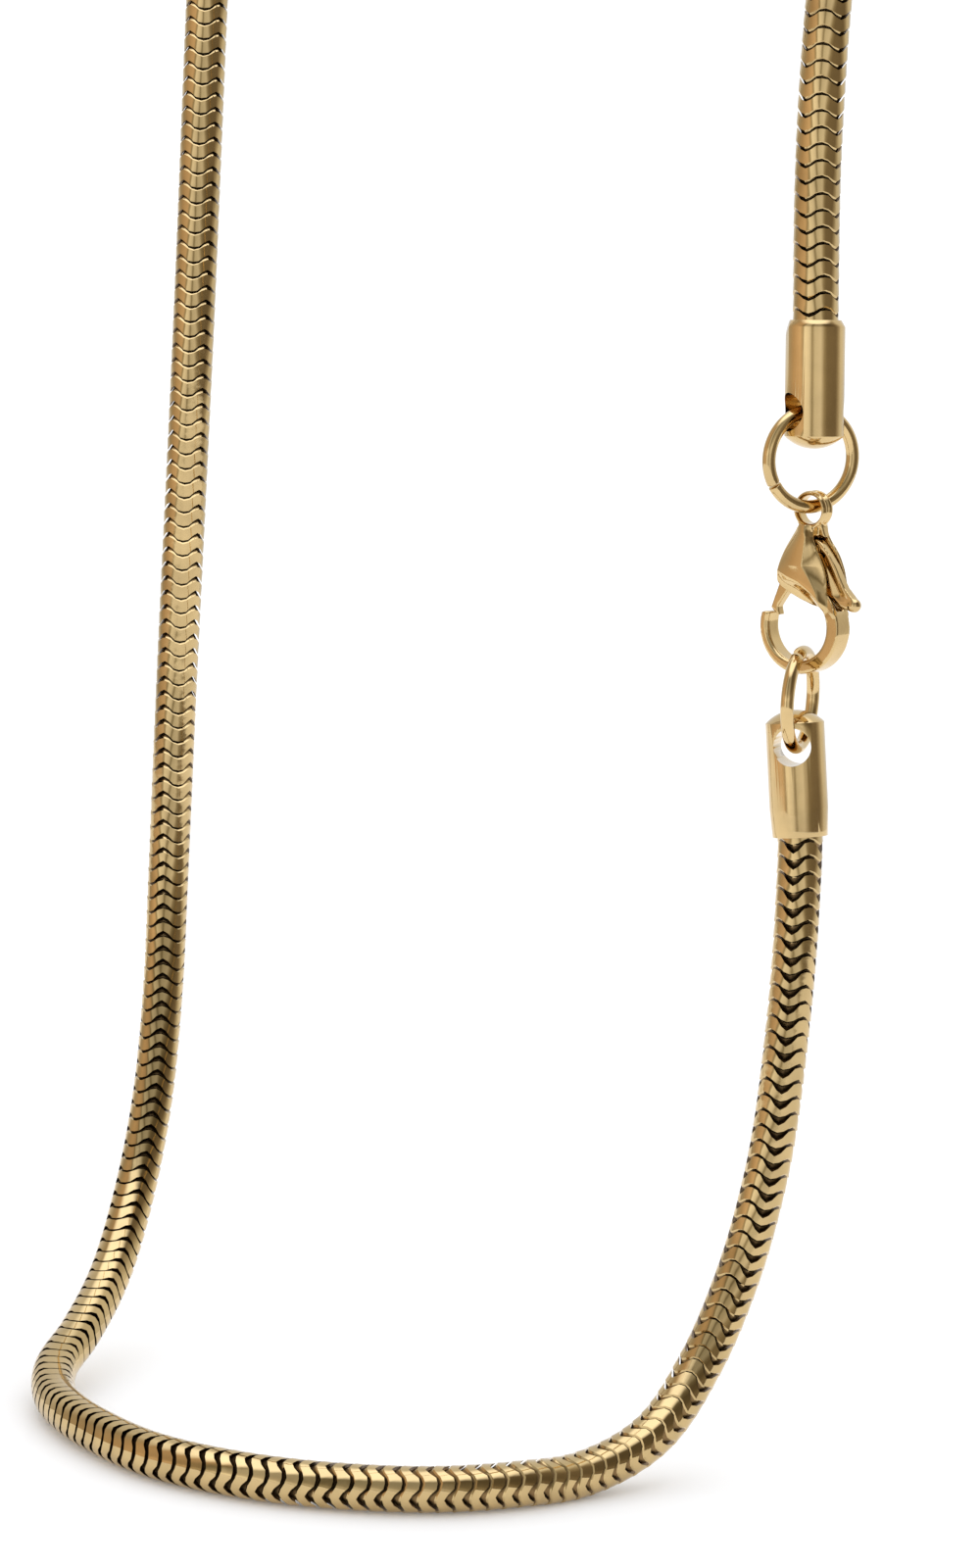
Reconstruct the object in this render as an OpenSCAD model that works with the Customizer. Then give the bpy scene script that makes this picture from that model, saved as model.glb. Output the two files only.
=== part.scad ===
// Snake chain necklace: a round chain between two drilled end caps, two jump rings and a lobster clasp.
// Millimetres. +Z is up, -Y is the front. The origin is on the underside of the arch at its top,
// where the necklace hangs.

/* [Chain] */
// Outside diameter of the round chain
chain_d = 4; // [3.6:0.1:4.4]
// Length of chain that sits inside each cap
chain_grip = 5; // [3.5:0.1:6]

/* [End caps] */
// Outside diameter of a cap
cap_d = 5.1; // [4.8:0.1:6]
// Free depth of the bore behind the chain's end
cap_relief = 0.6; // [0.3:0.1:1.5]
// Metal between the bore's floor and the cross hole
cap_web = 0.6; // [0.4:0.1:1.5]
// Diameter of the cross hole that takes the jump ring
cap_hole_d = 3.3; // [3.1:0.1:3.6]
// Metal between the cross hole and the edge of the dome
cap_rim = 0.4; // [0.3:0.1:1.2]
// Height of the domed end
cap_dome = 1.1; // [0.6:0.1:1.6]
// Radial play between the chain and the bore
chain_play = 0.05; // [0.03:0.01:0.12]
// How far the upper cap's lip is rolled in
upper_lip_in = 0.35; // [0.1:0.05:0.4]
// Length of the upper cap's rolled lip
upper_lip_len = 0.6; // [0.3:0.1:1.2]
// How far the lower cap's mouth is pressed in
lower_lip_in = 0.15; // [0.05:0.05:0.3]
// Length of the lower cap's pressed mouth
lower_lip_len = 2.5; // [1:0.1:4]
// Depth of the crimp in the side of the upper cap's mouth
crimp_in = 0.35; // [0.1:0.05:0.4]
// Length of that crimp along the cap
crimp_len = 1.6; // [1:0.1:3]

/* [Jump rings] */
// Outside diameter of a jump ring
ring_d = 9.45; // [9.2:0.05:10.5]
// Diameter of the ring's wire
ring_wire = 1.15; // [1:0.05:1.3]
// Width of the upper ring's split
upper_split = 0.2; // [0.1:0.05:0.6]
// Width of the lower ring's split
lower_split = 0.8; // [0.1:0.05:0.9]

/* [Clasp body] */
// Diameter of the hole in the eye
eye_hole_d = 2.4; // [2.3:0.1:2.8]
// Wall of the eye
eye_wall = 0.45; // [0.4:0.05:0.7]
// Depth of the eye from front to back
eye_depth = 1.6; // [1.4:0.1:2]
// Width of the cheeks at their left corner, from the middle
cheek_half = 3; // [2.7:0.1:3.4]
// Length of the cheeks, from the middle of the eye
cheek_len = 8.35; // [8:0.05:8.8]
// Thickness of a cheek at its middle
cheek_t = 0.6; // [0.5:0.05:0.8]
// Width of the slot between the cheeks
slot_w = 1.1; // [1:0.05:1.4]
// Radius of the cheeks' rounded faces
cheek_round = 14; // [11:0.5:30]
// Width of the bevel along the cheeks' lower edge
bevel_w = 1; // [0.5:0.1:1.2]
// Depth of that bevel
bevel_in = 0.3; // [0.1:0.05:0.4]
// Outside radius of the hook
hook_r = 4.05; // [3.9:0.05:4.2]
// Radius of the hook's opening
hook_in_r = 3; // [2.8:0.05:3.1]
// Depth of the hook from front to back
hook_depth = 2; // [1.6:0.1:2.3]
// Bevel on the edges of the hook and the eye
edge_bevel = 0.25; // [0.1:0.05:0.35]

/* [Clasp lever] */
// Thickness of the lever
lever_t = 0.9; // [0.7:0.05:0.95]
// Radius of the lever's hub
hub_r = 0.9; // [0.8:0.05:1]
// Diameter of the pin
pin_d = 0.8; // [0.6:0.05:0.9]
// Radial play of the lever on the pin
pin_play = 0.04; // [0.02:0.01:0.08]
// Depth of the pin's blind seat in each cheek
pin_seat = 0.35; // [0.25:0.05:0.4]
// Radius of the knob on the thumb tab
knob_r = 0.62; // [0.5:0.02:0.7]

/* [Fit] */
// Gap between pieces that rest on each other
touch = 0.06; // [0.04:0.01:0.15]
// Gap between pieces that are pressed together
press_gap = 0.02; // [0.01:0.01:0.05]

/* [Hidden] */
$fn = 96;
gold = [0.85, 0.71, 0.46];

// Sides of the swept chain, and rings for each stretch between two route points
chain_sides = 12;
rings_per_stretch = 2;
// Steps for each stretch of the cheeks' outline
cheek_steps = 3;
// A little more than any piece, for cuts that run right through
through = 20;

// End cap lengths
cap_r = cap_d / 2;
cap_bore_r = chain_d / 2 + chain_play;
cap_bore_depth = chain_grip + cap_relief;
cap_hole_at = cap_bore_depth + cap_web + cap_hole_d / 2;
cap_side = cap_hole_at + cap_hole_d / 2 + cap_rim;
dome_r = (cap_r * cap_r + cap_dome * cap_dome) / (2 * cap_dome);

// Jump ring sizes
wire_r = ring_wire / 2;
ring_r = ring_d / 2 - wire_r;
// Inside radius of a ring, less the gap to what it rests on
ring_in_r = ring_r - wire_r - touch;
// Height that a ring loses because it lies a little askew in a cap's hole, in the eye and in the hook
hole_skew = 0.05;
eye_skew = 0.09;
hook_skew = 0.13;
// Sideways shifts, along the ring and across it: of the upper ring in its cap, of the lower ring
// in the hook, and of the lower cap on its ring
upper_shift = [0, 0.2];
hook_shift = [-0.2, -0.2];
lower_shift = [-0.28, 0.1];
// How far a ring's middle lies from the middle of the cross hole whose edge it rests on
cap_hang = cap_hole_d / 2 - hole_skew + sqrt(pow(ring_in_r, 2) - pow(cap_r, 2));
// Turn of each ring, of the clasp and of each cap's cross hole about the vertical
upper_ring_turn = 27;
lower_ring_turn = 71;
clasp_turn = -38;
upper_hole_turn = 204;
lower_hole_turn = 257;
// Place of each ring's split, counted from its right side
upper_split_at = 212;
lower_split_at = 108;

// Upper end: the cap hangs on the chain, and the pieces below hang on each other
upper_mouth = [27, -23.45, -81.1];
upper_dir = unit([0.15, -0.3, -5]);
upper_hole = upper_mouth + cap_hole_at * upper_dir;
upper_ring = upper_hole + turned([upper_shift.x, upper_shift.y, -cap_hang], upper_ring_turn);
eye_side = 0.5;
eye_hang = eye_hole_d / 2 - eye_skew + sqrt(pow(ring_in_r, 2) - pow(eye_side + eye_depth / 2, 2));
clasp_at = upper_ring + turned([eye_side, 0, -eye_hang], upper_ring_turn);

// Clasp places, from the middle of the eye: x to the right, y to the back, z up
slot_half = slot_w / 2;
body_half = slot_half + cheek_t;
pin_half = slot_half + pin_seat;
// Middle of the hook's outside and of its opening, below the cheeks
hook_drop = 1.85;
hook_at = [-0.3, -cheek_len - hook_drop];
hook_in_at = [-0.58, -cheek_len - hook_drop + 0.02];
// Height of the hook's tip, and how far right its upper end stays open
tip_z = -cheek_len - 0.8;
tip_open = 1.6;
pivot = [0.6, -3.4];
knob_at = [4.7, -7.85];
// The gate's end swings past the corner of the hook's tip
tip_reach = [hook_in_at.x - sqrt(pow(hook_in_r, 2) - pow(tip_z - hook_in_at.y, 2)), tip_z];
tip_gap = 0.09;
gate_reach = norm(tip_reach - pivot) - tip_gap;

// Lower end: the second ring rests in the hook and carries the lower cap
lower_ring = clasp_at + turned([hook_in_at.x, 0, hook_in_at.y - hook_in_r], clasp_turn)
           + turned([hook_shift.x, hook_shift.y, hook_skew - ring_in_r], lower_ring_turn);
lower_dir = unit([-0.45, 0.5, 5]);
lower_hole = lower_ring + turned([lower_shift.x, lower_shift.y, -cap_hang], lower_ring_turn);
lower_mouth = lower_hole - cap_hole_at * lower_dir;

// Route of the chain's middle line from the upper cap round to the lower one, chosen by eye:
// down the right strand backwards, over the arch, down the left strand and along the ground
route = [
    upper_mouth + chain_grip * upper_dir,
    upper_mouth,
    [26.6, -23, -68],
    [26.8, -22.8, -55],
    [28.4, -22.7, -35],
    [26.5, -21, -22],
    [20.5, -16.5, -9.5],
    [11, -9, -1],
    [0, 0, 2],
    [-11, 9, -1],
    [-20.5, 16.5, -9.5],
    [-26.5, 21, -22],
    [-28.4, 22.7, -35],
    [-28.8, 23, -54],
    [-29.2, 23, -84],
    [-30, 23, -126],
    [-30.1, 21.5, -140],
    [-30.1, 18.5, -150],
    [-30.5, 13.5, -160],
    [-31.6, 8, -168],
    [-33.1, 1, -174],
    [-35.1, -7, -177.5],
    [-36.7, -13.3, -179.2],
    [-36.2, -19, -180],
    [-34.3, -24.3, -180],
    [-30.8, -30.2, -180],
    [-26, -35.8, -180],
    [-18.5, -40.3, -180],
    [-9, -42.6, -180],
    [-1, -42.3, -180],
    [5.5, -40, -180],
    [11, -36.4, -180],
    [16.9, -32.4, -177.5],
    [21, -28.6, -172.1],
    [23.9, -26.5, -165.1],
    [26.1, -25.6, -156],
    [27.4, -25.3, -143],
    [27.8, -24.9, -131],
    lower_mouth,
    lower_mouth + chain_grip * lower_dir
];

// Cheek outline: each row has its depth below the eye as a share of cheek_len,
// then the left edge, the front cheek's right edge and the back cheek's right edge
// as shares of cheek_half
cheek_rows = [
    [0.14, -0.24, 0.20, 0.30],
    [0.28, -0.50, 0.20, 0.46],
    [0.43, -0.75, 0.40, 0.79],
    [0.57, -0.92, 0.60, 1.00],
    [0.70, -1.00, 0.72, 1.12],
    [0.77, -1.00, 0.75, 1.17]
];
// Lower edge of the cheeks from left to right: each corner as shares of cheek_half and cheek_len
cheek_foot = [[-0.86, -0.82], [-0.55, -0.88], [-0.14, -0.935], [0.3, -0.98], [0.65, -1.0], [0.84, -1.0]];
// Room between the cheeks for the lever: x and z of each corner, from the middle of the eye
lever_room = [
    [0.1, -2.3], [1.2, -2.3], [7, -4], [7, -8.25], [3.9, -8.6], [2.8, -8.4], [1.5, -7.5],
    [1.2, -8.95], [-5, -8.95], [-5, -5.4], [-2.9, -5.1], [-2.25, -4.5], [-0.5, -2.9]
];
// Gate leg of the lever, down to the hook's tip: x and z of each corner
lever_gate = [
    [0.1, -4.1], [-2.6, -5.7], [-2.85, -6.5], [-3.7, -8.9], [-3.7, -12],
    [-2, -12], [-2.95, -8.7], [-1.9, -7.1], [0.9, -4.2]
];
// Thumb leaf of the lever: x and z of each corner
lever_leaf = [
    [0.9, -2.6], [1.35, -2.85], [2.15, -3.75], [2.8, -4.6], [3.3, -5.5], [3.85, -6.4], [4.9, -7.4],
    [4.7, -8.4], [3.5, -8.1], [2.6, -7.2], [1.9, -5.5], [1.1, -4.05]
];

// Unit vector along v
function unit(v) = v / norm(v);

// Vector v turned about the vertical
function turned(v, angle) = [
    v.x * cos(angle) - v.y * sin(angle),
    v.x * sin(angle) + v.y * cos(angle),
    v.z
];

// Slope of the curve at point i, weighted by the lengths on each side
function slope(pts, i) =
    i == 0 ? unit(pts[1] - pts[0])
    : i == len(pts) - 1 ? unit(pts[i] - pts[i - 1])
    : let (before = norm(pts[i] - pts[i - 1]), after = norm(pts[i + 1] - pts[i]))
      unit((pts[i] - pts[i - 1]) / before * after + (pts[i + 1] - pts[i]) / after * before);

// Point at share t of the curve between points i and i + 1
function between(pts, i, t) =
    let (length = norm(pts[i + 1] - pts[i]))
    let (leave = slope(pts, i) * length, reach = slope(pts, i + 1) * length)
    (2 * t * t * t - 3 * t * t + 1) * pts[i] + (t * t * t - 2 * t * t + t) * leave
    + (3 * t * t - 2 * t * t * t) * pts[i + 1] + (t * t * t - t * t) * reach;

// The curve through all points, with n steps for each stretch
function smooth(pts, n) = [
    for (i = [0:len(pts) - 2], k = [0:n - 1]) between(pts, i, k / n),
    pts[len(pts) - 1]
];

// Sideways direction of each ring, carried along the curve without twist
function carried(dirs, side, i = 0) =
    i == len(dirs) ? []
    : let (flat = unit(side - (side * dirs[i]) * dirs[i]))
      concat([flat], carried(dirs, flat, i + 1));

// Closed tube of radius r swept along the points of a line
module swept_tube(line, r, sides) {
    last = len(line) - 1;
    dirs = [for (i = [0:last]) unit(line[min(i + 1, last)] - line[max(i - 1, 0)])];
    across = carried(dirs, [0, 1, 0]);
    points = [
        for (i = [0:last], k = [0:sides - 1])
            let (angle = 360 * k / sides, up = cross(dirs[i], across[i]))
            line[i] + r * (cos(angle) * across[i] + sin(angle) * up)
    ];
    start_face = [for (k = [0:sides - 1]) sides - 1 - k];
    end_face = [for (k = [0:sides - 1]) last * sides + k];
    walls = [
        for (i = [0:last - 1], k = [0:sides - 1])
            let (here = i * sides + k, beside = i * sides + (k + 1) % sides)
            [here, beside, beside + sides, here + sides]
    ];
    polyhedron(points, concat([start_face], walls, [end_face]));
}

// Turns +Z onto a direction, with the X axis at a chosen angle about the vertical
module pointed(dir, angle) {
    lean = acos(dir.z);
    way = atan2(dir.y, dir.x);
    spin = dir.z > 0 ? angle - way : 180 + way - angle;
    rotate([0, lean, way])
        rotate([0, 0, spin])
            children();
}

// End cap with its mouth at z = 0, its dome at the top and its cross hole along X
module end_cap(lip_in, lip_len) {
    difference() {
        union() {
            cylinder(h = lip_len, r1 = cap_r - lip_in, r2 = cap_r);
            translate([0, 0, lip_len])
                cylinder(h = cap_side - lip_len, r = cap_r);
            intersection() {
                translate([0, 0, cap_side + cap_dome - dome_r])
                    sphere(r = dome_r);
                translate([0, 0, cap_side])
                    cylinder(h = 2 * cap_dome, r = cap_r);
            }
        }
        translate([0, 0, -cap_relief])
            cylinder(h = cap_bore_depth + cap_relief, r = cap_bore_r);
        translate([-cap_d, 0, cap_hole_at])
            rotate([0, 90, 0])
                cylinder(h = 2 * cap_d, d = cap_hole_d);
    }
}

// Split ring standing in the XZ plane, its middle at the origin
module jump_ring(split, split_at) {
    gap_angle = split / ring_r * 180 / PI;
    rotate([90, 0, 0])
        rotate([0, 0, split_at + gap_angle / 2])
            rotate_extrude(angle = 360 - gap_angle)
                translate([ring_r, 0])
                    circle(r = wire_r);
}

// Draws a flat outline, x to the right and y up, as a plate from y0 to y1 in depth
module plate(y0, y1) {
    translate([0, y1, 0])
        rotate([90, 0, 0])
            linear_extrude(height = y1 - y0)
                children();
}

// Cheek outline with the right edge taken from one column of the table
module cheek_outline(column) {
    rows = [for (row = cheek_rows) [row[0] * -cheek_len, row[1] * cheek_half, row[column] * cheek_half]];
    left = smooth([for (row = rows) [row[1], row[0]]], cheek_steps);
    right = smooth([for (row = rows) [row[2], row[0]]], cheek_steps);
    foot = [for (p = cheek_foot) [p[0] * cheek_half, p[1] * cheek_len]];
    polygon(concat(left, foot, [for (i = [len(right) - 1:-1:0]) right[i]]));
}

// Hook: an off-centre ring, open above its tip and below the cheeks
module hook_outline() {
    difference() {
        translate(hook_at)
            circle(r = hook_r);
        translate(hook_in_at)
            circle(r = hook_in_r);
        translate([-through, tip_z])
            square([through + tip_open, through]);
    }
}

// Bevels on both edges of a round hole through the depth, as the space to cut away
module hole_bevel(r, half_depth) {
    for (side = [0, 1])
        mirror([0, side, 0])
            rotate([-90, 0, 0])
                translate([0, 0, half_depth - edge_bevel])
                    cylinder(h = 2 * edge_bevel, r1 = r, r2 = r + 2 * edge_bevel);
}

// The rounded faces of the cheeks, as the space that both lie in
module cheek_lens() {
    intersection_for (side = [-1, 1])
        translate([0, side * (cheek_round - body_half), -through])
            cylinder(h = through, r = cheek_round);
}

// Bevels along the lower edges of both cheeks, as the space to cut away
module foot_bevels() {
    low = [cheek_foot[4][0] * cheek_half, cheek_foot[4][1] * cheek_len];
    high = [cheek_rows[5][1] * cheek_half, cheek_rows[5][0] * -cheek_len];
    slant = atan2(high.y - low.y, low.x - high.x);
    for (side = [0, 1])
        mirror([0, side, 0])
            translate([high.x, -body_half, high.y])
                rotate([0, slant, 0])
                    translate([0, 0, bevel_w])
                        rotate([atan2(bevel_in, bevel_w), 0, 0])
                            translate([-through / 2, -through, -through])
                                cube([2 * through, through, through]);
}

// Both cheeks as one block, the front one narrower on the right than the back one
module cheeks() {
    difference() {
        intersection() {
            union() {
                plate(-body_half, 0)
                    cheek_outline(2);
                plate(0, body_half)
                    cheek_outline(3);
            }
            cheek_lens();
        }
        foot_bevels();
    }
}

module chain() {
    color(gold)
        swept_tube(smooth(route, rings_per_stretch), chain_d / 2, chain_sides);
}

module upper_end_cap() {
    color(gold)
        translate(upper_mouth)
            difference() {
                pointed(upper_dir, upper_hole_turn)
                    end_cap(upper_lip_in, upper_lip_len);
                translate([-cap_r, 0, -crimp_len])
                    rotate([0, atan2(crimp_in, crimp_len), 0])
                        translate([-through, -through / 2, 0])
                            cube(through);
            }
}

module lower_end_cap() {
    color(gold)
        translate(lower_mouth)
            pointed(lower_dir, lower_hole_turn)
                end_cap(lower_lip_in, lower_lip_len);
}

module upper_jump_ring() {
    color(gold)
        translate(upper_ring)
            rotate([0, 0, upper_ring_turn])
                jump_ring(upper_split, upper_split_at);
}

module lower_jump_ring() {
    color(gold)
        translate(lower_ring)
            rotate([0, 0, lower_ring_turn])
                jump_ring(lower_split, lower_split_at);
}

module clasp_body() {
    color(gold)
        translate(clasp_at)
            rotate([0, 0, clasp_turn])
                difference() {
                    union() {
                        plate(-eye_depth / 2, eye_depth / 2)
                            circle(r = eye_hole_d / 2 + eye_wall);
                        cheeks();
                        difference() {
                            plate(-hook_depth / 2, hook_depth / 2)
                                hook_outline();
                            translate([hook_in_at.x, 0, hook_in_at.y])
                                hole_bevel(hook_in_r, hook_depth / 2);
                        }
                    }
                    plate(-slot_half, slot_half)
                        polygon(lever_room);
                    plate(-through, through)
                        circle(d = eye_hole_d);
                    plate(-pin_half - press_gap, pin_half + press_gap)
                        translate(pivot)
                            circle(r = pin_d / 2 + press_gap);
                    hole_bevel(eye_hole_d / 2, eye_depth / 2);
                }
}

module clasp_lever() {
    color(gold)
        translate(clasp_at)
            rotate([0, 0, clasp_turn])
                difference() {
                    union() {
                        plate(-lever_t / 2, lever_t / 2)
                            lever_outline();
                        translate([knob_at.x, 0, knob_at.y])
                            sphere(r = knob_r);
                    }
                    plate(-through, through)
                        translate(pivot)
                            circle(r = pin_d / 2 + pin_play);
                }
}

// Lever outline: hub, gate leg down to the hook's tip and thumb leaf out to the right
module lever_outline() {
    translate(pivot)
        circle(r = hub_r);
    intersection() {
        polygon(lever_gate);
        translate(pivot)
            circle(r = gate_reach);
    }
    polygon(lever_leaf);
}

module clasp_pin() {
    color(gold)
        translate(clasp_at)
            rotate([0, 0, clasp_turn])
                plate(-pin_half, pin_half)
                    translate(pivot)
                        circle(d = pin_d);
}

chain();
upper_end_cap();
lower_end_cap();
upper_jump_ring();
lower_jump_ring();
clasp_body();
clasp_lever();
clasp_pin();
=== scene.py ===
"""Dresses the snake chain necklace in gold: wave links, end caps, split rings and a lobster clasp."""

import math

import bmesh
import bpy
from bpy.props import FloatProperty, FloatVectorProperty, IntProperty, PointerProperty
from mathutils import Matrix, Vector


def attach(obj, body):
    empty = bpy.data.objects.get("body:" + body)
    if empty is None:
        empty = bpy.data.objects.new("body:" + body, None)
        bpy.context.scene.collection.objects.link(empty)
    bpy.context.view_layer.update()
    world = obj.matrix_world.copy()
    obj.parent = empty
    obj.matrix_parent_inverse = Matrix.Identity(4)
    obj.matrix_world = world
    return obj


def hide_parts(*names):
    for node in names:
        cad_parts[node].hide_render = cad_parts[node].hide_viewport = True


bl_info = {
    "name": "Snake Chain Necklace",
    "version": (1, 0, 0),
    "blender": (4, 5, 0),
    "location": "3D View > Sidebar > Snake Chain",
    "description": "Models and finishes a round snake chain with end caps, jump rings and a lobster clasp",
    "category": "Add Mesh",
}

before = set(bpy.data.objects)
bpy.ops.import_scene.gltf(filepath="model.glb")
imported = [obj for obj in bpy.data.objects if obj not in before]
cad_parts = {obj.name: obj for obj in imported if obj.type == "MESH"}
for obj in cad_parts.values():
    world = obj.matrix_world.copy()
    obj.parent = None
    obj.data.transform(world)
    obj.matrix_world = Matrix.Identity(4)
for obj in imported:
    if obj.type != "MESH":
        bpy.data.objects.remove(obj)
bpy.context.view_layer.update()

MM = 0.001
TURN = math.tau

# Middle line of the chain in millimetres, from inside the upper cap over the arch to inside the lower cap
CHAIN_GRIP = 5
UPPER_MOUTH, UPPER_WAY = Vector((27, -23.45, -81.1)), Vector((0.15, -0.3, -5)).normalized()
LOWER_MOUTH, LOWER_WAY = Vector((27.7711, -24.4221, -125.692)), Vector((-0.45, 0.5, 5)).normalized()
RIGHT_STRAND = ((26.6, -23, -68), (26.8, -22.8, -55), (28.4, -22.7, -35))
ARCH = (
    (26.5, -21, -22), (20.5, -16.5, -9.5), (11, -9, -1), (0, 0, 2),
    (-11, 9, -1), (-20.5, 16.5, -9.5), (-26.5, 21, -22),
)
LEFT_STRAND = (
    (-28.4, 22.7, -35), (-28.8, 23, -54), (-29.2, 23, -84), (-30, 23, -126), (-30.1, 21.5, -140),
    (-30.1, 18.5, -150), (-30.5, 13.5, -160), (-31.6, 8, -168), (-33.1, 1, -174), (-35.1, -7, -177.5),
)
FLOOR_STRETCH = (
    (-36.7, -13.3, -179.2), (-36.2, -19, -180), (-34.3, -24.3, -180), (-30.8, -30.2, -180),
    (-26, -35.8, -180), (-18.5, -40.3, -180), (-9, -42.6, -180), (-1, -42.3, -180),
    (5.5, -40, -180), (11, -36.4, -180),
)
LOWER_STRAND = (
    (16.9, -32.4, -177.5), (21, -28.6, -172.1), (23.9, -26.5, -165.1), (26.1, -25.6, -156),
    (27.4, -25.3, -143), (27.8, -24.9, -131),
)
ROUTE = [
    Vector(point) * MM
    for point in (
        UPPER_MOUTH + CHAIN_GRIP * UPPER_WAY, UPPER_MOUTH, *RIGHT_STRAND, *ARCH, *LEFT_STRAND,
        *FLOOR_STRETCH, *LOWER_STRAND, LOWER_MOUTH, LOWER_MOUTH + CHAIN_GRIP * LOWER_WAY,
    )
]
# Steps of the smooth line between two route points
ROUTE_STEPS = 24
# The way that the notches' turn is counted from, at the upper end
FIRST_SIDE = Vector((0.6, 0.8, 0))
# Turn of the links' notches along the chain: (millimetres from the upper end, degrees)
TWIST = (
    (0, 22), (16, 1), (27, -17), (193, -85), (219, -77), (252, -96), (286, -137), (345, -180),
    (353, -178), (363, -190), (372, -198), (394, -205), (440, -256), (462, -278),
)
# Share of the notches' full depth along the chain: (millimetres from the upper end, share)
OPENING = (
    (0, 0.52), (193, 0.56), (252, 0.68), (286, 0.82), (345, 0.78), (394, 0.88), (440, 0.98), (462, 0.98),
)

# A link's section: radii as shares of the link's radius, heights in millimetres, and its front edge's
# height as a share of the pitch
FRONT_EDGE = (0.98, 1.13)
RIM, LIP, COLLAR = (1, 0.28), (0.93, 0.14), (0.78, -0.4)
# The notches: how many, their half width in degrees, and the power that rounds their sides
NOTCHES = 4
NOTCH_HALF = 32
NOTCH_CURVE = 1.5
# How much of the rounded edge's wave the notched edge follows, and how far a link draws in at its notches
FRONT_WAVE = 0.17
DRAWN_IN = 0.009
# Outward faces beyond this share of the radius are plain gold and all other faces get the painted shade;
# edges past this angle stay crisp
PAINTED_SHADE_UNDER = 0.9
CRISP = math.radians(30)


class ChainSizes(bpy.types.PropertyGroup):
    """Sizes of the chain's links, their gold colour, and the painted shade between them."""

    link_count: IntProperty(name="Links", description="Number of links in the chain", default=330, min=40)
    radius: FloatProperty(
        name="Radius", description="Outside radius of a link", default=2 * MM, unit="LENGTH"
    )
    pitch: FloatProperty(
        name="Pitch", description="Distance from link to link", default=1.4 * MM, unit="LENGTH"
    )
    wave: FloatProperty(
        name="Wave", description="Height of the rounded edge's wave", default=0.3 * MM, unit="LENGTH"
    )
    notch: FloatProperty(
        name="Notch", description="Depth of each of the four notches", default=0.98 * MM, unit="LENGTH"
    )
    columns: IntProperty(name="Columns", description="Faces around a link", default=24, min=12)
    gold: FloatVectorProperty(
        name="Gold", description="Colour of the links", subtype="COLOR", size=3,
        default=(0.615, 0.45, 0.217),
    )
    # Painted shade: a dark brown gold on the collars and inner faces, standing in for the shade inside the
    # chain's gaps and openings
    painted_shade: FloatVectorProperty(
        name="Shade", description="Colour between the links", subtype="COLOR", size=3,
        default=(0.26, 0.165, 0.072),
    )


class FittingSizes(bpy.types.PropertyGroup):
    """Edge softness and colours of the caps, rings and clasp."""

    edge: FloatProperty(name="Edge", description="Softness of the edges", default=0.07 * MM, unit="LENGTH")
    gold: FloatVectorProperty(
        name="Gold", description="Colour of the fittings", subtype="COLOR", size=3,
        default=(0.71, 0.515, 0.25),
    )


class StageSizes(bpy.types.PropertyGroup):
    """Sizes of the floor and the strength of the light."""

    floor_radius: FloatProperty(name="Floor", description="Radius of the floor", default=0.4, unit="LENGTH")
    floor_level: FloatProperty(
        name="Level", description="Height of the floor", default=-182 * MM, unit="LENGTH"
    )
    light: FloatProperty(name="Light", description="Strength of the studio", default=1.0, min=0)


def line_slopes(points):
    """Unit slope at each point, weighted by the lengths on each side."""
    slopes = [(points[1] - points[0]).normalized()]
    for before, here, after in zip(points, points[1:], points[2:]):
        back, ahead = here - before, after - here
        slopes.append((back / back.length * ahead.length + ahead / ahead.length * back.length).normalized())
    return slopes + [(points[-1] - points[-2]).normalized()]


def smooth_line(points, steps):
    """The smooth curve through all points, with so many steps between two of them."""
    slopes, out = line_slopes(points), []
    for i in range(len(points) - 1):
        length = (points[i + 1] - points[i]).length
        for k in range(steps):
            t = k / steps
            out.append(
                (2 * t**3 - 3 * t**2 + 1) * points[i]
                + (t**3 - 2 * t**2 + t) * length * slopes[i]
                + (3 * t**2 - 2 * t**3) * points[i + 1]
                + (t**3 - t**2) * length * slopes[i + 1]
            )
    return out + [points[-1]]


def along(table, distance):
    """A table's value so far from the chain's upper end."""
    for (start, value), (end, next_value) in zip(table, table[1:]):
        if distance <= end * MM:
            break
    return value + (next_value - value) * (distance / MM - start) / (end - start)


def link_places(count):
    """Where each link stands, its axis along the chain and its notches turned, and how open they are."""
    line = smooth_line(ROUTE, ROUTE_STEPS)
    lengths = [(b - a).length for a, b in zip(line, line[1:])]
    pitch = sum(lengths) / count
    places, walked, wanted = [], 0.0, pitch / 2
    side = FIRST_SIDE
    for a, b, length in zip(line, line[1:], lengths):
        way = (b - a) / length
        side = (side - side.dot(way) * way).normalized()
        while wanted <= walked + length and len(places) < count:
            turned = Matrix.Rotation(math.radians(along(TWIST, wanted)), 3, way) @ side
            axes = Matrix((turned, way.cross(turned), way)).transposed()
            place = Matrix.Translation(a + way * (wanted - walked)) @ axes.to_4x4()
            places.append((place, along(OPENING, wanted)))
            wanted += pitch
        walked += length
    return places


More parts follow.
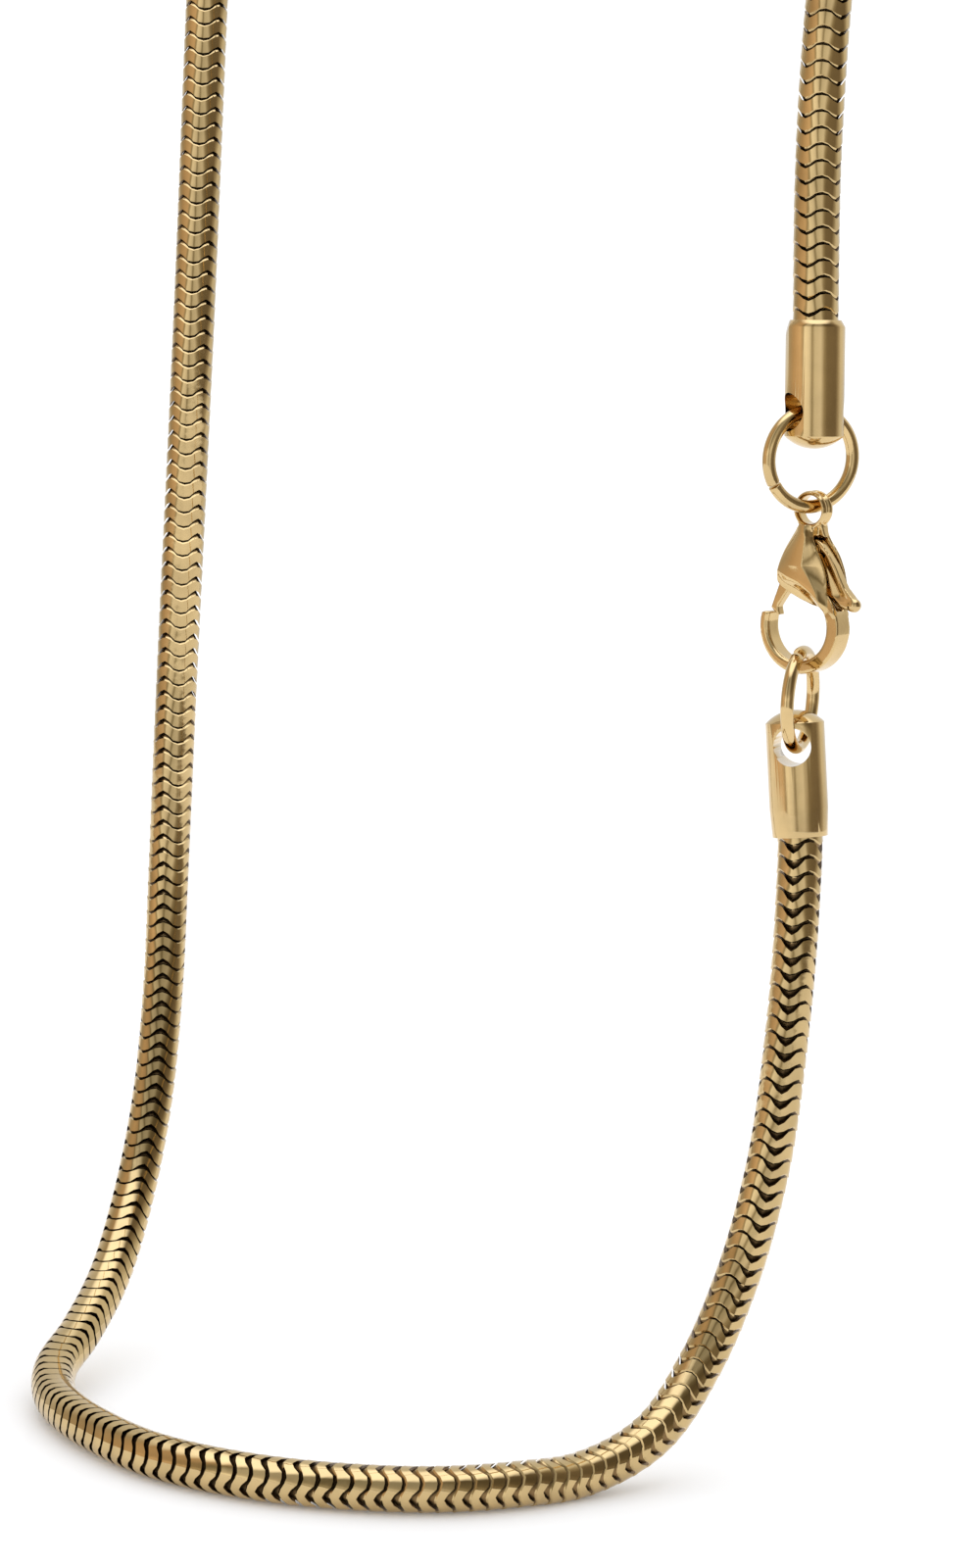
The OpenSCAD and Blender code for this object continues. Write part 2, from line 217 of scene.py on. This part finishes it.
def link_shape(sizes, opening):
    """One link as a closed band: a notched edge ahead, a rounded wavy edge with a collar behind."""
    front_share, front_at = FRONT_EDGE
    profile = [(front_share, sizes.pitch * front_at)]
    profile += [(share, height * MM) for share, height in (RIM, LIP, COLLAR)]
    shape = bmesh.new()
    ring = [shape.verts.new((sizes.radius * share, 0, height)) for share, height in profile]
    edges = [shape.edges.new(pair) for pair in zip(ring, ring[1:] + ring[:1])]
    bmesh.ops.spin(
        shape, geom=ring + edges, cent=(0, 0, 0), axis=(0, 0, 1), dvec=(0, 0, 0),
        angle=TURN, steps=sizes.columns, use_merge=True, use_normal_flip=False, use_duplicate=False,
    )
    for vert in shape.verts:
        around = math.atan2(vert.co.y, vert.co.x)
        off_notch = abs((math.degrees(around) + 180 / NOTCHES) % (360 / NOTCHES) - 180 / NOTCHES)
        ripple = math.cos(NOTCHES * around)
        if vert.co.z > sizes.pitch / 2:
            vert.co.z -= sizes.notch * opening * max(0.0, 1 - (off_notch / NOTCH_HALF) ** NOTCH_CURVE)
            vert.co.z -= sizes.wave * FRONT_WAVE * ripple
        else:
            vert.co.z -= sizes.wave * ripple
        vert.co.xy *= 1 - DRAWN_IN * (1 + ripple)
        vert.co.z -= sizes.pitch / 2
    bmesh.ops.recalc_face_normals(shape, faces=shape.faces)
    for face in shape.faces:
        face.smooth = True
        middle = face.calc_center_median()
        outward = face.normal.xy.dot(middle.xy) > 0
        # Faces turned inward or lying deep inside the radius take material 1, the painted shade of the
        # hollows between links
        face.material_index = 0 if outward and middle.xy.length > sizes.radius * PAINTED_SHADE_UNDER else 1
    for edge in shape.edges:
        if len(edge.link_faces) == 2 and edge.calc_face_angle(0) > CRISP:
            edge.smooth = False
    return shape


def finished_object(name, shape, materials):
    """Turns a bmesh into an object at the origin with its materials."""
    mesh = bpy.data.meshes.new(name)
    shape.to_mesh(mesh)
    shape.free()
    for material in materials:
        mesh.materials.append(material)
    thing = bpy.data.objects.new(name, mesh)
    bpy.context.scene.collection.objects.link(thing)
    return thing


def new_material(name):
    """An empty node material and its shader."""
    material = bpy.data.materials.new(name)
    material.use_nodes = True
    nodes = material.node_tree.nodes
    return material, nodes, material.node_tree.links, nodes["Principled BSDF"]


def noise_node(nodes, links, scale, detail, stretch=(1, 1, 1)):
    """Noise on the piece's own coordinates, stretched along one way if wanted."""
    coords = nodes.new("ShaderNodeTexCoord")
    mapping = nodes.new("ShaderNodeMapping")
    mapping.inputs["Scale"].default_value = stretch
    noise = nodes.new("ShaderNodeTexNoise")
    noise.inputs["Scale"].default_value = scale
    noise.inputs["Detail"].default_value = detail
    links.new(coords.outputs["Object"], mapping.inputs["Vector"])
    links.new(mapping.outputs["Vector"], noise.inputs["Vector"])
    return noise


def ramp_node(nodes, links, factor, stops):
    """A colour ramp over a factor: stops are (place, colour)."""
    ramp = nodes.new("ShaderNodeValToRGB")
    ramp.color_ramp.elements[0].position, ramp.color_ramp.elements[0].color = stops[0][0], (*stops[0][1], 1)
    ramp.color_ramp.elements[1].position, ramp.color_ramp.elements[1].color = stops[-1][0], (*stops[-1][1], 1)
    for place, colour in stops[1:-1]:
        ramp.color_ramp.elements.new(place).color = (*colour, 1)
    links.new(factor, ramp.inputs["Fac"])
    return ramp


# Gold plate: how far its tone strays, how far its roughness strays, and the noises of both (scale, detail)
TONE_RANGE = (0.86, 1.08)
POLISH_RANGE = (0.7, 1.4)
TONE_NOISE, POLISH_NOISE = (260, 3), (900, 4)


def gold_material(name, colour, rough, stretch=(1, 1, 1), grain=2600, depth=0.02 * MM):
    """Gold plate: warm metal with a slight change of tone, a varying polish and a fine grain."""
    material, nodes, links, shader = new_material(name)
    shader.inputs["Metallic"].default_value = 1
    tone = noise_node(nodes, links, *TONE_NOISE)
    darker, lighter = (tuple(min(1, c * share) for c in colour) for share in TONE_RANGE)
    stops = ((0.3, darker), (0.55, tuple(colour)), (0.75, lighter))
    ramp = ramp_node(nodes, links, tone.outputs["Fac"], stops)
    links.new(ramp.outputs["Color"], shader.inputs["Base Color"])
    polish = noise_node(nodes, links, *POLISH_NOISE, stretch)
    spread = nodes.new("ShaderNodeMapRange")
    spread.inputs["To Min"].default_value = rough * POLISH_RANGE[0]
    spread.inputs["To Max"].default_value = rough * POLISH_RANGE[1]
    links.new(polish.outputs["Fac"], spread.inputs["Value"])
    links.new(spread.outputs["Result"], shader.inputs["Roughness"])
    fine = noise_node(nodes, links, grain, 2, stretch)
    bump = nodes.new("ShaderNodeBump")
    bump.inputs["Strength"].default_value = 0.2
    bump.inputs["Distance"].default_value = depth
    links.new(fine.outputs["Fac"], bump.inputs["Height"])
    links.new(bump.outputs["Normal"], shader.inputs["Normal"])
    return material


class SNAKE_OT_links(bpy.types.Operator):
    """Lay the wave links of the chain along its line"""

    bl_idname = "snake.links"
    bl_label = "Chain Links"

    def execute(self, context):
        sizes = context.scene.snake_chain
        chain = bmesh.new()
        link = bpy.data.meshes.new("link")
        for place, opening in link_places(sizes.link_count):
            shape = link_shape(sizes, opening)
            bmesh.ops.transform(shape, matrix=place, verts=shape.verts)
            shape.to_mesh(link)
            shape.free()
            chain.from_mesh(link)
        bpy.data.meshes.remove(link)
        bright = gold_material("link_gold", sizes.gold, 0.08, grain=500, depth=0.12 * MM)
        # The second material is painted shade: a dark, rougher copy of the gold for the collars and inner
        # faces
        painted_shade_material = gold_material("painted_shade_gold", sizes.painted_shade, 0.35)
        links = finished_object("chain_links", chain, (bright, painted_shade_material))
        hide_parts("chain")
        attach(links, "necklace")
        return {"FINISHED"}


def node_shape(node):
    """The node's own solid with its points merged."""
    shape = bmesh.new()
    shape.from_mesh(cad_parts[node].data)
    bmesh.ops.remove_doubles(shape, verts=shape.verts, dist=0.002 * MM)
    return shape


def softened_copy(node, name, material, width):
    """The node's own solid with soft, bright edges."""
    shape = node_shape(node)
    bmesh.ops.dissolve_limit(shape, angle_limit=math.radians(0.6), verts=shape.verts, edges=shape.edges)
    for face in shape.faces:
        face.smooth = True
    piece = finished_object(name, shape, (material,))
    bevel = piece.modifiers.new("soft_edges", "BEVEL")
    bevel.width = width
    bevel.segments = 2
    bevel.limit_method = "ANGLE"
    bevel.angle_limit = math.radians(32)
    bevel.use_clamp_overlap = True
    bevel.harden_normals = False
    normals = piece.modifiers.new("even_normals", "WEIGHTED_NORMAL")
    normals.keep_sharp = True
    return piece


# Castings: size of the even mesh, and rounds of smoothing before the casting is shaped and after it
BODY_CASTING = (0.065 * MM, 14)
LEVER_CASTING = (0.06 * MM, 12)
LAST_TUMBLE = 3


def tumble(shape, steps):
    """Rounds a fine mesh off a little, so many times."""
    for step in range(steps):
        bmesh.ops.smooth_vert(
            shape, verts=shape.verts, factor=0.5, use_axis_x=True, use_axis_y=True, use_axis_z=True
        )


def cast_copy(node, name, material, grain, steps, change):
    """The node's solid as a casting: a fine even mesh, tumbled round, shaped by change and tumbled again."""
    rough = finished_object("rough_" + name, node_shape(node), ())
    remesh = rough.modifiers.new("even", "REMESH")
    remesh.mode = "VOXEL"
    remesh.voxel_size = grain
    ready = rough.evaluated_get(bpy.context.evaluated_depsgraph_get())
    shape = bmesh.new()
    shape.from_mesh(ready.to_mesh())
    ready.to_mesh_clear()
    old = rough.data
    bpy.data.objects.remove(rough)
    bpy.data.meshes.remove(old)
    tumble(shape, steps)
    change(shape)
    tumble(shape, LAST_TUMBLE)
    for face in shape.faces:
        face.smooth = True
    return finished_object(name, shape, (material,))


# Clasp: the middle of its eye, and its turn about the vertical. Its sizes below are in millimetres.
CLASP_AT = Vector((27.5897, -23.5147, -97.3274))
CLASP_TURN = math.radians(-38)
CLASP_PLACE = Matrix.Translation(CLASP_AT * MM) @ Matrix.Rotation(CLASP_TURN, 4, "Z") @ Matrix.Scale(MM, 4)
SLOT_HALF = 0.55
EYE_REACH = 1.75
# The eye: depth and half width of its groove, and how far its two lobes fall off at their sides
GROOVE, GROOVE_HALF, LOBE_FALL = 0.24, 0.2, 0.12
# The solid's cheeks: half their depth at the middle, and the radius of their rounded faces
CHEEK_HALF_DEPTH = 1.15
CHEEK_ROUND = 14
# Top and bottom of the stretch that the cheeks are shaped in
CHEEK_TOP, CHEEK_FOOT = -1.0, -9.0
# The cast cheeks: their face at the edges, the crest's rise, the lip along the facet, the facet's slope
CHEEK_EDGE, CREST_RISE, FACET_LIP, FACET_SLOPE = 0.8, 0.7, 0.1, 0.42
# The lever's leaf: left end, top and bottom of the dished part, and the dish's half width
LEAF_LEFT, LEAF_TOP, LEAF_FOOT, DISH_HALF = 1.0, -3.2, -7.6, 0.75
# Share of the leaf's thickness that the dish takes
DISH_DEPTH = 0.45
# The leaf's outer rim: its place at a height, and how far it moves out for each millimetre down
LEAF_RIM_AT, LEAF_RIM_TOP, LEAF_RIM_SLOPE = 1.45, -2.9, 0.64
# Cheek rows in millimetres below the eye: (z, left edge, crest, right edge)
CHEEK_ROWS = (
    (-1.0, -0.7, -0.1, 0.6),
    (-2.3, -1.5, 0.3, 0.6),
    (-3.6, -2.25, 0.15, 1.2),
    (-4.8, -2.8, 0.0, 1.8),
    (-5.9, -3.0, 0.9, 2.2),
    (-7.0, -3.0, 1.7, 2.4),
    (-8.4, -3.0, 2.2, 2.6),
)
# Facet along the cheeks' lower edge: (x, z of its upper edge)
FACET = ((-3.2, -5.35), (-2.4, -5.6), (-1.6, -5.85), (-0.3, -6.2), (1.0, -6.95), (2.2, -7.9), (3.2, -8.8))


def table_row(table, at, falling):
    """The table's values at a place, eased between two rows."""
    for (first, *start), (last, *end) in zip(table, table[1:]):
        if (at >= last) if falling else (at <= last):
            break
    share = min(1.0, max(0.0, (at - first) / (last - first)))
    return [a + (b - a) * share for a, b in zip(start, end)]


def cheek_height(x, z):
    """How far a cheek's face stands out: a curved crest, hollow on its right, and the flat facet below."""
    edge = table_row(FACET, x, False)[0]
    left, crest, right = table_row(CHEEK_ROWS, max(z, edge), True)
    off = (x - crest) / ((crest - left) if x < crest else (right - crest))
    rise = 1 - min(1.0, abs(off)) ** 2 if x < crest else max(0.0, 1 - abs(off)) ** 1.3
    lip = FACET_LIP * math.exp(-max(0.0, z - edge) / 0.35)
    return CHEEK_EDGE + CREST_RISE * rise + lip - FACET_SLOPE * max(0.0, edge - z)


def sculpt_body(shape):
    """Shapes the clasp's body: grooves the eye into two lobes and crowns both cheeks."""
    bmesh.ops.transform(shape, matrix=CLASP_PLACE.inverted(), verts=shape.verts)
    for vert in shape.verts:
        x, y, z = vert.co
        reach = math.hypot(x, z)
        if reach < EYE_REACH and (z > -1.2 or abs(y) < SLOT_HALF):
            groove = GROOVE * math.exp(-((y / GROOVE_HALF) ** 2))
            lobe = LOBE_FALL * max(0.0, abs(y) - 0.45) / 0.35
            outer = min(1.0, max(0.0, (reach - 1.25) / 0.3))
            vert.co.xz = vert.co.xz * (1 - outer * (groove + lobe) / reach)
        elif abs(y) > SLOT_HALF - 0.05 and CHEEK_FOOT < z < CHEEK_TOP:
            side = min(1.0, (abs(y) - SLOT_HALF + 0.05) / 0.45)
            face = CHEEK_HALF_DEPTH - CHEEK_ROUND + math.sqrt(CHEEK_ROUND**2 - x * x)
            fade = min(1.0, (CHEEK_TOP - z) / 0.9, (z - CHEEK_FOOT) / 0.6)
            new = SLOT_HALF + (abs(y) - SLOT_HALF) * (cheek_height(x, z) - SLOT_HALF) / (face - SLOT_HALF)
            vert.co.y = math.copysign(abs(y) + (new - abs(y)) * fade * side, y)
    bmesh.ops.transform(shape, matrix=CLASP_PLACE, verts=shape.verts)


def sculpt_lever(shape):
    """Shapes the lever: its thumb leaf is dished between a raised rim and the knob."""
    bmesh.ops.transform(shape, matrix=CLASP_PLACE.inverted(), verts=shape.verts)
    for vert in shape.verts:
        x, y, z = vert.co
        if x < LEAF_LEFT or not LEAF_FOOT <= z <= LEAF_TOP:
            continue
        rim = LEAF_RIM_AT + (LEAF_RIM_TOP - z) * LEAF_RIM_SLOPE
        dish = max(0.0, 1 - abs(x - rim + DISH_HALF) / DISH_HALF)
        fade = min(1.0, (LEAF_TOP - z) / 0.6, (z - LEAF_FOOT) / 0.5)
        vert.co.y = y * (1 - DISH_DEPTH * dish * fade)
    bmesh.ops.transform(shape, matrix=CLASP_PLACE, verts=shape.verts)


def dress(pieces, context):
    """Gives each listed node its softened piece: (node, name, body, roughness, stretch of the grain)."""
    sizes = context.scene.snake_fittings
    for node, name, body, rough, stretch in pieces:
        material = gold_material(name + "_gold", sizes.gold, rough, stretch)
        piece = softened_copy(node, name, material, sizes.edge)
        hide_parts(node)
        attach(piece, body)


class SNAKE_OT_caps(bpy.types.Operator):
    """Finish both end caps with soft rims and fine lengthwise brushing"""

    bl_idname = "snake.caps"
    bl_label = "End Caps"

    def execute(self, context):
        brushing = (1, 1, 0.06)
        dress(
            (
                ("upper_end_cap", "upper_cap_dressed", "necklace", 0.12, brushing),
                ("lower_end_cap", "lower_cap_dressed", "necklace", 0.12, brushing),
            ),
            context,
        )
        return {"FINISHED"}


class SNAKE_OT_rings(bpy.types.Operator):
    """Finish both split rings"""

    bl_idname = "snake.rings"
    bl_label = "Jump Rings"

    def execute(self, context):
        dress(
            (
                ("upper_jump_ring", "upper_ring_dressed", "necklace", 0.09, (1, 1, 1)),
                ("lower_jump_ring", "lower_ring_dressed", "necklace", 0.09, (1, 1, 1)),
            ),
            context,
        )
        return {"FINISHED"}


class SNAKE_OT_clasp(bpy.types.Operator):
    """Finish the clasp's body, lever and pin"""

    bl_idname = "snake.clasp"
    bl_label = "Lobster Clasp"

    def execute(self, context):
        sizes = context.scene.snake_fittings
        polished = gold_material("clasp_gold", sizes.gold, 0.09)
        body = cast_copy("clasp_body", "clasp_body_cast", polished, *BODY_CASTING, sculpt_body)
        lever = cast_copy("clasp_lever", "clasp_lever_cast", polished, *LEVER_CASTING, sculpt_lever)
        for piece, node, carrier in ((body, "clasp_body", "necklace"), (lever, "clasp_lever", "lever")):
            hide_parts(node)
            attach(piece, carrier)
        dress((("clasp_pin", "clasp_pin_dressed", "necklace", 0.2, (1, 1, 1)),), context)
        return {"FINISHED"}


# Brightness of the studio round the necklace: (degrees from the front, red, green, blue), right is positive
STUDIO = (
    (-180, 0.85, 0.87, 0.9),
    (-140, 0.8, 0.8, 0.8),
    (-118, 0.5, 0.44, 0.36),
    (-95, 0.62, 0.47, 0.33),
    (-64, 0.95, 0.74, 0.56),
    (-53, 0.5, 0.45, 0.34),
    (-45, 1.3, 1.3, 1.3),
    (-25, 1.05, 1.05, 1.05),
    (-14, 0.38, 0.35, 0.27),
    (-5, 0.85, 0.85, 0.82),
    (19, 0.95, 0.95, 0.95),
    (33, 0.42, 0.38, 0.3),
    (45, 0.27, 0.23, 0.17),
    (86, 0.24, 0.2, 0.15),
    (98, 0.45, 0.41, 0.34),
    (114, 0.85, 0.84, 0.8),
    (150, 0.85, 0.87, 0.9),
    (180, 0.85, 0.87, 0.9),
)
# How the front walls darken above eye level: (height of the look upwards, colour)
WALLS = (
    (0, (0.87, 0.87, 0.87)),
    (0.07, (1, 1, 1)),
    (0.12, (0.97, 0.97, 0.97)),
    (0.25, (0.62, 0.6, 0.56)),
    (0.5, (0.5, 0.5, 0.48)),
)
# Light overhead, and the strength of the plain light that the floor gets and the background shows
OVERHEAD = (0.92, 0.96, 1.06, 1)
PLAIN_LIGHT = 1.14


def studio_world(strength):
    """Soft light from all round: pale, with a few warmer and darker screens that the metal mirrors."""
    world = bpy.data.worlds.new("soft_studio")
    bpy.context.scene.world = world
    world.use_nodes = True
    nodes, links = world.node_tree.nodes, world.node_tree.links
    nodes.clear()
    coords = nodes.new("ShaderNodeTexCoord")
    parts = nodes.new("ShaderNodeSeparateXYZ")
    links.new(coords.outputs["Generated"], parts.inputs["Vector"])
    forward = nodes.new("ShaderNodeMath")
    forward.operation = "MULTIPLY"
    forward.inputs[1].default_value = -1
    links.new(parts.outputs["Y"], forward.inputs[0])
    around = nodes.new("ShaderNodeMath")
    around.operation = "ARCTAN2"
    links.new(parts.outputs["X"], around.inputs[0])
    links.new(forward.outputs[0], around.inputs[1])
    share = nodes.new("ShaderNodeMapRange")
    share.inputs["From Min"].default_value = -math.pi
    share.inputs["From Max"].default_value = math.pi
    links.new(around.outputs[0], share.inputs["Value"])
    # A ramp's colours stay under 1, so they are halved and the light's strength is doubled
    half = tuple(((degrees + 180) / 360, (r / 2, g / 2, b / 2)) for degrees, r, g, b in STUDIO)
    ramp = ramp_node(nodes, links, share.outputs["Result"], half)
    height = ramp_node(nodes, links, parts.outputs["Z"], WALLS)
    walls = nodes.new("ShaderNodeMix")
    walls.data_type = "RGBA"
    walls.blend_type = "MULTIPLY"
    near = nodes.new("ShaderNodeMapRange")
    near.interpolation_type = "SMOOTHSTEP"
    near.inputs["From Min"].default_value = -0.1
    near.inputs["From Max"].default_value = 0.5
    links.new(forward.outputs[0], near.inputs["Value"])
    links.new(near.outputs["Result"], walls.inputs["Factor"])
    links.new(ramp.outputs["Color"], walls.inputs["A"])
    links.new(height.outputs["Color"], walls.inputs["B"])
    overhead = nodes.new("ShaderNodeMapRange")
    overhead.interpolation_type = "SMOOTHSTEP"
    overhead.inputs["From Min"].default_value = 0.74
    overhead.inputs["From Max"].default_value = 0.93
    links.new(parts.outputs["Z"], overhead.inputs["Value"])
    sky = nodes.new("ShaderNodeMix")
    sky.data_type = "RGBA"
    sky.inputs["B"].default_value = OVERHEAD
    links.new(overhead.outputs["Result"], sky.inputs["Factor"])
    links.new(walls.outputs["Result"], sky.inputs["A"])
    studio = nodes.new("ShaderNodeBackground")
    studio.inputs["Strength"].default_value = 2 * strength
    links.new(sky.outputs["Result"], studio.inputs["Color"])
    plain = nodes.new("ShaderNodeBackground")
    plain.inputs["Color"].default_value = (1, 1, 1, 1)
    plain.inputs["Strength"].default_value = PLAIN_LIGHT
    path = nodes.new("ShaderNodeLightPath")
    unmirrored = nodes.new("ShaderNodeMath")
    unmirrored.operation = "MAXIMUM"
    links.new(path.outputs["Is Camera Ray"], unmirrored.inputs[0])
    links.new(path.outputs["Is Diffuse Ray"], unmirrored.inputs[1])
    mix = nodes.new("ShaderNodeMixShader")
    links.new(unmirrored.outputs[0], mix.inputs["Fac"])
    links.new(studio.outputs["Background"], mix.inputs[1])
    links.new(plain.outputs["Background"], mix.inputs[2])
    output = nodes.new("ShaderNodeOutputWorld")
    links.new(mix.outputs["Shader"], output.inputs["Surface"])


# Camera: its place in metres, its tilt from straight down, its roll, and its lens in millimetres
CAMERA_AT = (0.0007, -0.427, -0.0584)
CAMERA_TILT = math.radians(81)
CAMERA_ROLL = math.radians(2.2)
CAMERA_LENS = 108


class SNAKE_OT_stage(bpy.types.Operator):
    """Set up the pale floor, the soft studio light and the camera"""

    bl_idname = "snake.stage"
    bl_label = "Stage"

    def execute(self, context):
        sizes = context.scene.snake_stage
        shape = bmesh.new()
        bmesh.ops.create_circle(shape, cap_ends=True, radius=sizes.floor_radius, segments=96)
        bmesh.ops.translate(shape, verts=shape.verts, vec=(0, 0, sizes.floor_level))
        material, nodes, links, shader = new_material("pale_floor")
        shader.inputs["Roughness"].default_value = 0.6
        shader.inputs["Emission Color"].default_value = (1, 1, 1, 1)
        shader.inputs["Emission Strength"].default_value = 0.12
        cloud = noise_node(nodes, links, 3, 2)
        stops = ((0.3, (0.86, 0.86, 0.86)), (0.7, (0.89, 0.89, 0.89)))
        ramp = ramp_node(nodes, links, cloud.outputs["Fac"], stops)
        links.new(ramp.outputs["Color"], shader.inputs["Base Color"])
        floor = finished_object("floor", shape, (material,))
        studio_world(sizes.light)
        lens = bpy.data.cameras.new("camera")
        lens.lens = CAMERA_LENS
        lens.sensor_width = 36
        lens.clip_start = 0.01
        lens.clip_end = 100
        camera = bpy.data.objects.new("camera", lens)
        tilt = Matrix.Rotation(CAMERA_TILT, 4, "X") @ Matrix.Rotation(CAMERA_ROLL, 4, "Z")
        camera.matrix_world = Matrix.Translation(CAMERA_AT) @ tilt
        context.scene.collection.objects.link(camera)
        context.scene.camera = camera
        context.scene.view_settings.view_transform = "Standard"
        return {"FINISHED"}


class SNAKE_PT_panel(bpy.types.Panel):
    """Lists the sizes and the steps of the necklace"""

    bl_idname = "SNAKE_PT_panel"
    bl_label = "Snake Chain"
    bl_space_type = "VIEW_3D"
    bl_region_type = "UI"
    bl_category = "Snake Chain"

    def draw(self, context):
        for group, operators in (
            (context.scene.snake_chain, ("snake.links",)),
            (context.scene.snake_fittings, ("snake.caps", "snake.rings", "snake.clasp")),
            (context.scene.snake_stage, ("snake.stage",)),
        ):
            column = self.layout.column()
            for name in group.bl_rna.properties.keys():
                if name not in ("rna_type", "name"):
                    column.prop(group, name)
            for operator in operators:
                column.operator(operator)


CLASSES = (
    ChainSizes, FittingSizes, StageSizes,
    SNAKE_OT_links, SNAKE_OT_caps, SNAKE_OT_rings, SNAKE_OT_clasp, SNAKE_OT_stage, SNAKE_PT_panel,
)


def register():
    """Adds the classes and the three groups of sizes."""
    for one in CLASSES:
        bpy.utils.register_class(one)
    bpy.types.Scene.snake_chain = PointerProperty(type=ChainSizes)
    bpy.types.Scene.snake_fittings = PointerProperty(type=FittingSizes)
    bpy.types.Scene.snake_stage = PointerProperty(type=StageSizes)


def unregister():
    """Takes the groups of sizes and the classes away again."""
    del bpy.types.Scene.snake_chain
    del bpy.types.Scene.snake_fittings
    del bpy.types.Scene.snake_stage
    for one in reversed(CLASSES):
        bpy.utils.unregister_class(one)


def main():
    """Builds the whole necklace and its stage."""
    register()
    bpy.ops.snake.stage()
    bpy.ops.snake.links()
    bpy.ops.snake.caps()
    bpy.ops.snake.rings()
    bpy.ops.snake.clasp()


if __name__ == "__main__":
    main()
